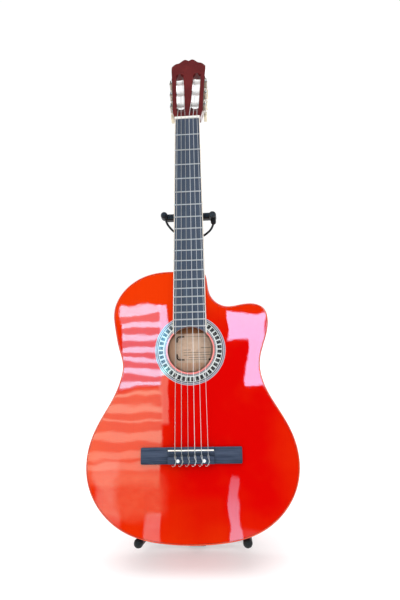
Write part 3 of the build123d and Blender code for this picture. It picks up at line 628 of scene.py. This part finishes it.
lx0, lx1, lu0, lu1 = -35.0, 43.5, -481.3, -434.3
ink = []
for sx, cx in ((1, lx0), (-1, lx1)):
    for su, cu in ((1, lu0), (-1, lu1)):
        r = 5.0
        arc = [(cx + sx * (r - r * math.cos(a)), cu + su * (r - r * math.sin(a))) for a in (rad(90 * k / 8) for k in range(9))]
        ink.append(printed([(cx, cu + su * 11.5), (cx, cu + su * 8)] + arc + [(cx + sx * 8, cu), (cx + sx * 15, cu)], 2.9))
        ink.append(printed([(cx + sx * 2.6, cu + su * 8), (cx + sx * 2.6, cu + su * 5.2), (cx + sx * 5.2, cu + su * 2.6), (cx + sx * 8, cu + su * 2.6)], 0.5))
ink.append(printed(line(lx0 + 17, lu1, lx1 - 17, lu1), 0.5))
ink.append(printed(line(lx0 + 17, lu0, lx1 - 17, lu0), 0.5))
for x0, x1, u in ((13, 34, -457.5), (-22, -7, -461.6), (-22, 33, -467.0), (-22, 33, -472.0), (-12, 24, -477.0)):
    ink.append(printed(line(x0, u, x1, u), 0.75))
v, f = merge(ink)
piece("label_rules", v, f, M["print"], "guitar", smooth=False)

# ------------------------------------------------------------------ bridge ties, roller windings
STR_R = [0.55, 0.45, 0.38, 0.51, 0.41, 0.36]
SADDLE_X = [-27.6 + 11.5 * i for i in range(6)]
rng = np.random.default_rng(11)
for group, ids in (("wound", (0, 1, 2)), ("nylon", (3, 4, 5))):
    paths = []
    for i in ids:
        x, r = SADDLE_X[i], STR_R[i]
        j = rng.uniform(-0.5, 0.5, 6)
        top = 8.8 + r + 0.05
        pts = [(x, -675.3, 5.2), (x + 0.2, -676.4, 5.9), (x + 0.5, -676.6, 7.6), (x + 0.8, -675.6, top + 0.35),
               (x + 1.1, -672.0 + j[0], top), (x + 1.6 + 0.3 * j[1], -667.0, top), (x + 1.5, -663.0, top + 0.1), (x + 1.3, -661.5, 8.0),
               (x + 0.8, -660.6, 6.1), (x - 0.5, -660.2, 5.2), (x - 1.2, -660.5, 6.6), (x - 0.9, -661.6, 8.4),
               (x - 0.4, -663.4, top + 0.9), (x + 0.5, -666.2, top + 2 * r + 0.1), (x + 1.9, -668.6 + j[2], top + 1.2 * r),
               (x + 2.3, -670.8, top + 0.1), (x + 1.2, -673.0, top + 2 * r), (x - 0.4, -675.2, top + 0.9), (x - 1.4, -677.0, 8.4),
               (x - 2.4 + j[3], -678.2, 7.0 + j[4]), (x - 4.2 + j[3], -678.4, 6.2 + j[4]), (x - 5.6, -677.2, 6.6 + j[5])]
        paths.append((rounded(pts, 5), r * 0.96))
    v, f = tube_mesh(paths, 8)
    piece("bridge_ties_" + group, v, f, M[group if group == "nylon" else "wound"], "guitar")

ROLL_V, ROLL_N = (50.0, 85.0, 119.5), -8.5
NODE_NO = {-1: (6, 5, 4), 1: (1, 2, 3)}
for i in range(6):
    s = -1 if i < 3 else 1
    st = i if i < 3 else 5 - i
    k = NODE_NO[s][st]
    r = STR_R[i]
    vv = ROLL_V[st]
    y = vv - 25.0
    xr = {0: 19.0, 1: 15.6, 2: 12.8}[st] * s
    tilt = rad(2.49) * s
    dx, dy = xr - s * 14.2, vv - 1.0 - 25.0
    a0 = dx * math.cos(tilt) - dy * math.sin(tilt)
    R = 5.0 + r + 0.06
    turns, pts = 3.3, []
    way = s if a0 * s < 2.0 else -s
    for q in range(int(turns * 22) + 1):
        th = 2 * math.pi * q / 22
        pts.append((a0 + way * q / 22 * (2 * r + 0.12), y + R * math.sin(th), ROLL_N + R * math.cos(th)))
    th = 2 * math.pi * turns
    tail = Vector(pts[-1])
    pts += [tuple(tail + Vector((way * 0.7, 0.5, -1.4))), tuple(tail + Vector((way * 1.3, 0.4, -3.2))), tuple(tail + Vector((way * 2.1, -0.5, -4.6)))]
    v, f = tube_mesh([(pts, r * 0.97)], 8)
    piece("string_winding_%d" % k, v, f, M["coil"], "roller_body_%d" % k, m=side_m(s))

# ------------------------------------------------------------------ soft pieces of the stand
def softened(name, node, mat, body, voxel, passes, strength=0.5, tex=None):
    """Moulded soft piece: the node's solid with its edges eased and a slightly uneven skin."""
    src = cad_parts[node]
    me = src.data.copy()
    me.name = name
    ob = bpy.data.objects.new(name, me)
    scene.collection.objects.link(ob)
    ob.matrix_world = Matrix.Identity(4)
    md = ob.modifiers.new("weld", "WELD")
    md.merge_threshold = 1e-6
    md = ob.modifiers.new("remesh", "REMESH")
    md.mode = "VOXEL"
    md.voxel_size = voxel
    md = ob.modifiers.new("smooth", "SMOOTH")
    md.iterations = passes
    md.factor = strength
    bpy.context.view_layer.update()
    dg = bpy.context.evaluated_depsgraph_get()
    new = bpy.data.meshes.new_from_object(ob.evaluated_get(dg))
    ob.modifiers.clear()
    ob.data = new
    new.name = name
    new.materials.clear()
    new.materials.append(mat)
    if tex:
        co = np.array([v.co for v in new.vertices])
        nr = np.array([v.normal for v in new.vertices])
        freq, amp = tex
        w = (np.sin(co[:, 0] * freq * 1.3 + 1.0) + np.sin(co[:, 1] * freq + 2.1) + np.sin(co[:, 2] * freq * 0.8)) / 3
        co = co + nr * (w * amp - amp)[:, None]
        new.vertices.foreach_set("co", co.ravel())
    new.polygons.foreach_set("use_smooth", [True] * len(new.polygons))
    new.update()
    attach(ob, body)
    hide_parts(node)
    return ob


yoke = softened("yoke_pad_moulded", "yoke_pad", M["yoke"], "mast_top", 0.0007, 5)


def foam_sleeve(s):
    """Foam tube with soft rolled ends, slightly uneven along its length."""
    prof = []
    n0, n1 = -98.0, -10.0
    for i in range(7):
        a = rad(90 * i / 6)
        prof.append((6.0 + 1.9 * math.sin(a), n0 + 1.9 - 1.9 * math.cos(a)))
    for i in range(1, 24):
        prof.append((7.9 - 0.05 * (1 + math.sin(i * 1.7)), n0 + 1.9 + (n1 - n0 - 3.8) * i / 24))
    for i in range(7):
        a = rad(90 * i / 6)
        prof.append((6.0 + 1.9 * math.cos(a), n1 - 1.9 + 1.9 * math.sin(a)))
    prof += [(5.15, n1 - 0.4), (5.15, n0 + 0.4)]
    v, f = revolve(prof, (s * 92.6, -802.95), seg=40)
    out = []
    for x, u, n in v:
        dx, du = x - s * 92.6, u + 802.95
        rr = math.hypot(dx, du)
        if rr > 5.5:
            a = math.atan2(du, dx)
            k = 1 - 0.004 * (1 + math.sin(3 * a + n * 0.11) * math.sin(n * 0.23 + a))
            dx, du = dx * k, du * k
        out.append((s * 92.6 + dx, -802.95 + du, n))
    return out, f


v, f = merge([foam_sleeve(-1), foam_sleeve(1)])
foam = piece("cradle_foam_sleeves", v, f, M["foam"], "stand", replaces=("cradle_foam",), angle=70)

# neck strap: one flexible rubber cord between the yoke's arms
STRAP = [(-48.0, -205.6, -14.6), (-46.9, -212.0, -13.2), (-45.2, -218.6, -13.8), (-40.9, -225.8, -16.4), (-32.0, -235.2, -20.6),
         (-17.9, -244.8, -24.6), (-1.1, -250.0, -26.6), (15.9, -249.6, -25.8), (29.6, -244.4, -23.0),
         (41.2, -236.6, -18.4), (46.6, -228.6, -14.4), (47.8, -222.6, -12.4)]
cu = bpy.data.curves.new("neck_strap_cord", "CURVE")
cu.dimensions = "3D"
sp = cu.splines.new("NURBS")
sp.points.add(len(STRAP) - 1)
for q, p in zip(sp.points, STRAP):
    w = gp(*p)
    q.co = (w.x, w.y, w.z, 1.0)
sp.order_u = 3
sp.use_endpoint_u = True
sp.resolution_u = 12
cu.bevel_depth = 0.0021
cu.bevel_resolution = 5
cu.use_fill_caps = True
cu.materials.append(M["rubber"])
strap = bpy.data.objects.new("neck_strap_cord", cu)
scene.collection.objects.link(strap)
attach(strap, "mast_top")
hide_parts("neck_strap")

# ------------------------------------------------------------------ finishes of the CAD nodes
FINISH = {
    "soundboard": "top", "back_plate": "back", "rib_bass": "side", "rib_treble": "side", "tail_block": "inner", "neck_block": "block",
    "linings": "inner", "braces": "inner", "label": "paper", "fingerboard": "board", "board_edging": "cream", "frets": "fret",
    "neck": "head", "headstock": "head", "nut": "ivory", "tuner_plates": "nickel", "tuner_screws": "nickel", "bridge": "bridge",
    "tie_dots": "dot", "saddle": "ivory", "strings_wound": "wound", "strings_plain": "nylon",
    "mast_lower": "tube", "mast_upper": "tube", "clamp_collar": "mould", "clamp_knob": "mould", "yoke_frame": "tube", "strap_post": "mould",
    "foot_tube": "tube", "foot_caps": "rubber", "foot_bracket": "mould", "cradle_cross": "tube", "cradle_arm_left": "tube",
    "cradle_arm_right": "tube", "cradle_caps": "rubber", "hinge_bracket": "mould", "hinge_bolt": "steel", "rear_leg_left": "tube",
    "rear_leg_right": "tube", "rear_knuckle": "mould", "rear_brace": "tube", "rear_feet": "rubber"}


for node, key in FINISH.items():
    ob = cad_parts[node]
    ob.data.materials.clear()
    ob.data.materials.append(M[key])
# the plates and ribs are lacquered outside and bare inside
def bare_inside(node, test, key="inner"):
    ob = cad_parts[node]
    ob.data.materials.append(M[key])
    m = GM.inverted() @ ob.matrix_world
    r = m.to_3x3()
    idx = []
    for q in ob.data.polygons:
        c = m @ q.center
        idx.append(1 if test(c, (r @ q.normal).normalized()) else 0)
    ob.data.polygons.foreach_set("material_index", idx)


bare_inside("soundboard", lambda c, n: n.z < -0.7)
bare_inside("back_plate", lambda c, n: n.z > 0.7 and c.z > back_n(c.x) + 1.2, "inner_back")
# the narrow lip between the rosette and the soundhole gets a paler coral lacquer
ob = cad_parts["soundboard"]
ob.data.materials.append(M["lip"])
to_guitar = GM.inverted() @ ob.matrix_world
for q in ob.data.polygons:
    c = to_guitar @ q.center
    if q.material_index == 0 and math.hypot(c.x, c.y + 475.5) < 45.0:
        q.material_index = 2
for node in ("rib_bass", "rib_treble"):
    def inner_wall(c, n):
        d = EDGE - np.array((c.x, c.y))
        i = int(np.argmin((d ** 2).sum(1)))
        return float(INWARD[i][0] * n.x + INWARD[i][1] * n.y) > 0.5
    bare_inside(node, inner_wall)

for s in (1, -1):
    for st in range(3):
        k = NODE_NO[s][st]
        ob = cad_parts["roller_%d" % k]
        ob.data.materials.clear()
        ob.data.materials.append(split_mat("roller_finish_%d" % k, side_m(s), 0, 8.3, True, WHITE2, NICKEL2, absolute=True))
        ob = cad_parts["button_%d" % k]
        ob.data.materials.clear()
        ob.data.materials.append(split_mat("button_finish_%d" % k, side_m(s), 2, -25.8, True, PEARL2, NICKEL2))

# crisp edges and smooth curves on the tessellated nodes
for node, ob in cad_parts.items():
    if ob.hide_render:
        continue
    ob.data.polygons.foreach_set("use_smooth", [True] * len(ob.data.polygons))
    md = ob.modifiers.new("weld", "WELD")
    md.merge_threshold = 1e-6
    md = ob.modifiers.new("split", "EDGE_SPLIT")
    md.split_angle = rad(32)
    md.use_edge_sharp = False
    md = ob.modifiers.new("normals", "WEIGHTED_NORMAL")
    md.keep_sharp = True
    md.weight = 80

# ------------------------------------------------------------------ floor
g = Graph("studio_floor")
n1 = g.noise(g.tc.outputs["Object"], 3.0, 4.0, 0.6)
g.colour(g.mix(g.ramp(n1, 0.2, 0.8), (0.56, 0.56, 0.56), (0.53, 0.53, 0.532)))
g.rough(g.to(n1, 0.55, 0.7))
g.bsdf.inputs["Emission Color"].default_value = (1.0, 1.0, 1.0, 1.0)
g.bsdf.inputs["Emission Strength"].default_value = 0.46
bm = bmesh.new()
bmesh.ops.create_circle(bm, cap_ends=True, segments=96, radius=14.0)
me = bpy.data.meshes.new("floor")
bm.to_mesh(me)
bm.free()
me.materials.append(g.mat)
floor = bpy.data.objects.new("floor", me)
scene.collection.objects.link(floor)
floor.visible_glossy = False

# ------------------------------------------------------------------ world: white studio, calmer in mirror-like reflections
world = bpy.data.worlds.new("studio")
scene.world = world
world.use_nodes = True
wn = world.node_tree
wn.nodes.clear()
out = wn.nodes.new("ShaderNodeOutputWorld")
lp = wn.nodes.new("ShaderNodeLightPath")
tc = wn.nodes.new("ShaderNodeTexCoord")


def wmath(op, a, b):
    n = wn.nodes.new("ShaderNodeMath")
    n.operation = op
    for sock, v in zip(n.inputs, (a, b)):
        if isinstance(v, float):
            sock.default_value = v
        else:
            wn.links.new(v, sock)
    return n.outputs[0]


def wrange(v, f0, f1, t0, t1):
    n = wn.nodes.new("ShaderNodeMapRange")
    n.interpolation_type = "SMOOTHSTEP"
    wn.links.new(v, n.inputs["Value"])
    for k, q in (("From Min", f0), ("From Max", f1), ("To Min", t0), ("To Max", t1)):
        n.inputs[k].default_value = q
    return n.outputs[0]


sep = wn.nodes.new("ShaderNodeSeparateXYZ")
wn.links.new(tc.outputs["Generated"], sep.inputs[0])
# dark flag in front of the guitar, pale walls at the sides and behind, dimmer ceiling
front = wmath("MULTIPLY", sep.outputs[1], -1.0)
side = wrange(front, 0.86, 0.62, 0.0, 1.0)
wall = wmath("MULTIPLY", side, wrange(sep.outputs[2], 0.42, 0.72, 0.95, 0.24))
low = wrange(sep.outputs[2], -0.12, -0.35, 0.0, 0.75)
mirror_level = wmath("ADD", wmath("MAXIMUM", wall, low), 0.015)


def bg(strength, colour=(1, 1, 1, 1)):
    b = wn.nodes.new("ShaderNodeBackground")
    b.inputs[0].default_value = colour
    if isinstance(strength, float):
        b.inputs[1].default_value = strength
    else:
        wn.links.new(strength, b.inputs[1])
    return b.outputs[0]


def wmix(fac, a, b):
    m = wn.nodes.new("ShaderNodeMixShader")
    wn.links.new(fac, m.inputs[0])
    wn.links.new(a, m.inputs[1])
    wn.links.new(b, m.inputs[2])
    return m.outputs[0]


soft = bg(0.72)
gloss = bg(mirror_level, (0.96, 0.975, 1.0, 1))
seen = bg(1.02)
wn.links.new(wmix(lp.outputs["Is Camera Ray"], wmix(lp.outputs["Is Glossy Ray"], soft, gloss), seen), out.inputs[0])


# ------------------------------------------------------------------ lights
def area(name, centre, toward, width, height, radiance, colour=(1, 1, 1), glossy=True, diffuse=True, up=(0, 0, 1)):
    li = bpy.data.lights.new(name, "AREA")
    li.shape = "RECTANGLE"
    li.size, li.size_y = width, height
    li.energy = radiance * width * height * math.pi
    li.color = colour
    ob = bpy.data.objects.new(name, li)
    scene.collection.objects.link(ob)
    z = (Vector(centre) - Vector(toward)).normalized()
    x = Vector(up).cross(z).normalized()
    yv = z.cross(x)
    m = Matrix((x, yv, z)).transposed().to_4x4()
    m.translation = Vector(centre)
    ob.matrix_world = m
    ob.visible_camera = False
    ob.visible_glossy = glossy
    ob.visible_diffuse = diffuse
    ob.visible_transmission = False
    return ob


area("key", (-1.6, -2.6, 2.6), (0, 0, 0.45), 2.2, 1.6, 1.45, (1.0, 0.985, 0.96), glossy=False)
area("fill", (2.2, -1.8, 1.6), (0, 0, 0.5), 1.8, 1.8, 0.7, (0.94, 0.97, 1.0), glossy=False)
area("back_rim", (0.6, 2.6, 1.9), (0, 0.1, 0.5), 1.8, 1.4, 1.4, (1, 1, 1), glossy=True)

sun = bpy.data.lights.new("ceiling_sun", "SUN")
sun.energy = 2.2
sun.angle = rad(70)
sun_ob = bpy.data.objects.new("ceiling_sun", sun)
scene.collection.objects.link(sun_ob)
sun_ob.location = (0, 0, 3)
sun_ob.visible_glossy = False
sun_ob.visible_camera = False

# a narrow lamp that reaches through the soundhole and lights the inside of the back
spot = bpy.data.lights.new("soundhole_lamp", "SPOT")
spot.energy = 185.0
spot.color = (1.0, 0.93, 0.87)
spot.spot_size = rad(2.05)
spot.spot_blend = 0.25
spot.shadow_soft_size = 0.03
spot_ob = bpy.data.objects.new("soundhole_lamp", spot)
scene.collection.objects.link(spot_ob)
sp_z = (gp(218, -850, 2500) - gp(0, -475.5, 0)).normalized()
sp_x = Vector((1, 0, 0)).cross(sp_z).normalized()
sp_m = Matrix((sp_x, sp_z.cross(sp_x), sp_z)).transposed().to_4x4()
sp_m.translation = gp(218, -850, 2500)
spot_ob.matrix_world = sp_m
spot_ob.visible_glossy = False
spot_ob.visible_camera = False

# one large light panel square to the guitar's face, seen only by the gloss: a louvred soft box and a plain
# column on the left, plain soft boxes on the right and low down, unlit elsewhere
g = Graph("light_panel")
g.nt.nodes.remove(g.bsdf)
v = g.local(GM)
warp = g.node("VectorMath", {0: g.node("TexNoise", {"Vector": v, "Scale": 0.007, "Detail": 2.0}).outputs["Color"],
                             1: (0.5, 0.5, 0.5)}, operation="SUBTRACT").outputs[0]
vw = g.node("VectorMath", {0: g.stretch(warp, (34.0, 34.0, 0.0)), 1: v}, operation="ADD").outputs[0]
px, pu = g.axis(vw, 0), g.axis(vw, 1)
patchy = g.noise(g.stretch(v, (0.012, 0.020, 1.0)), 1.0, 3.0, 0.6)
total = None


def times(*terms):
    out = terms[0]
    for t in terms[1:]:
        out = g.math("MULTIPLY", out, t)
    return out


def between(c, lo, hi, soft):
    return times(g.ramp(c, lo - soft, lo + soft), g.ramp(c, hi + soft, hi - soft))


def box(x0, x1, u0, u1, soft=8.0, soft_u=None):
    return times(between(px, x0, x1, soft), between(pu, u0, u1, soft_u or soft))


def glow(mask, colour):
    """Add a lit area to the panel."""
    global total
    c = g.node("VectorMath", {0: colour, "Scale": mask}, operation="SCALE").outputs[0]
    total = c if total is None else g.node("VectorMath", {0: total, 1: c}, operation="ADD").outputs[0]


def rows(bands, soft):
    out = None
    for hi, lo in bands:
        m = between(pu, lo, hi, soft)
        out = m if out is None else g.math("MAXIMUM", out, m)
    return out


louvre = rows(((343, 276), (215, 168), (108, 62), (16, -34), (-80, -117), (-172, -216), (-266, -302)), 7.0)
upper = g.math("ADD", g.math("MULTIPLY", louvre, 0.80), 0.20)
glow(times(box(-816, -500, -318, 343), upper, g.to(patchy, 0.80, 1.12)), (4.4, 14.0, 18.8))
glow(times(box(-503, -439, -6, 331), g.to(patchy, 0.8, 1.1)), (4.0, 12.6, 18.6))
glow(box(-503, -439, -141, -6), (4.0, 9.0, 13.5))
glow(box(-503, -439, -214, -160), (6.0, 18.0, 20.0))
glow(box(-503, -439, -600, -214, 8.0, 30.0), (3.0, 3.4, 2.6))
low_rows = rows(((-352, -386), (-443, -485), (-546, -568), (-660, -722), (-793, -852), (-880, -924)), 11.0)
low = g.math("ADD", g.math("MULTIPLY", low_rows, 0.62), 0.26)
fall = g.ramp(pu, -1130.0, -380.0)
glow(times(box(-1075, -500, -1010, -330, 16.0, 40.0), low, g.to(fall, 0.55, 1.0)), (3.4, 6.2, 4.8))
glow(times(box(-1075, -500, -1010, -330, 16.0, 40.0), g.to(patchy, 0.5, 1.0)), (1.6, 1.4, 0.7))
glow(times(box(-960, -470, -1260, -960, 60.0, 60.0), g.to(patchy, 0.15, 0.65)), (3.0, 4.0, 2.2))
glow(times(box(-1000, -820, -1330, -860, 26.0, 80.0), g.to(patchy, 0.2, 0.7)), (2.2, 4.2, 3.8))
glow(times(box(-603, -495, -1460, -1238, 12.0, 26.0), g.to(patchy, 0.5, 1.4)), (2.0, 3.3, 3.2))
glow(times(box(-440, -20, -1460, -1120, 60.0, 60.0), g.to(patchy, 0.3, 0.8)), (0.0, 0.34, 0.0))
glow(times(box(26, 346, 35, 264, 7.0)), (9.0, 12.6, 20.6))
glow(box(176, 346, -330, 35, 7.0), (8.5, 12.0, 19.5))
glow(times(box(10, 96, -1440, -985, 7.0, 20.0), g.to(g.ramp(pu, -960.0, -1400.0), 0.42, 1.0)), (3.0, 6.0, 8.2))
glow(times(box(96, 210, -1440, -1330, 40.0, 30.0), g.to(patchy, 0.2, 1.0)), (1.2, 1.6, 1.6))
em = g.node("Emission", {"Color": total, "Strength": 1.0})
clear = g.node("BsdfTransparent")
both = g.node("AddShader", {0: em.outputs[0], 1: clear.outputs[0]})
g.nt.links.new(both.outputs[0], g.out.inputs[0])
me = bpy.data.meshes.new("light_panel")
me.from_pydata([tuple(gp(x, u, 3000.0)) for x, u in ((-1300, -1700), (700, -1700), (700, 700), (-1300, 700))], [], [(0, 1, 2, 3)])
me.materials.append(g.mat)
panel = bpy.data.objects.new("light_panel", me)
scene.collection.objects.link(panel)
panel.visible_camera = panel.visible_diffuse = panel.visible_shadow = panel.visible_transmission = False
panel.visible_volume_scatter = False

# ------------------------------------------------------------------ camera
cam_data = bpy.data.cameras.new("camera")
cam_data.lens = 30.0
cam_data.sensor_width = 36.0
cam_data.sensor_fit = "AUTO"
cam = bpy.data.objects.new("camera", cam_data)
scene.collection.objects.link(cam)
cx = Vector((0.99741941, 0.06397975, -0.03257482))
cy = Vector((0.0327176, -0.00118494, 0.99946393))
cz = Vector((0.06390685, -0.99795049, -0.00327515))
m = Matrix((cx, cy, cz)).transposed().to_4x4()
m.translation = Vector((0.07944707, -1.03599977, 0.45951759))
cam.matrix_world = m
scene.camera = cam
scene.view_settings.view_transform = "Standard"
scene.view_settings.look = "None"

bpy.context.view_layer.update()
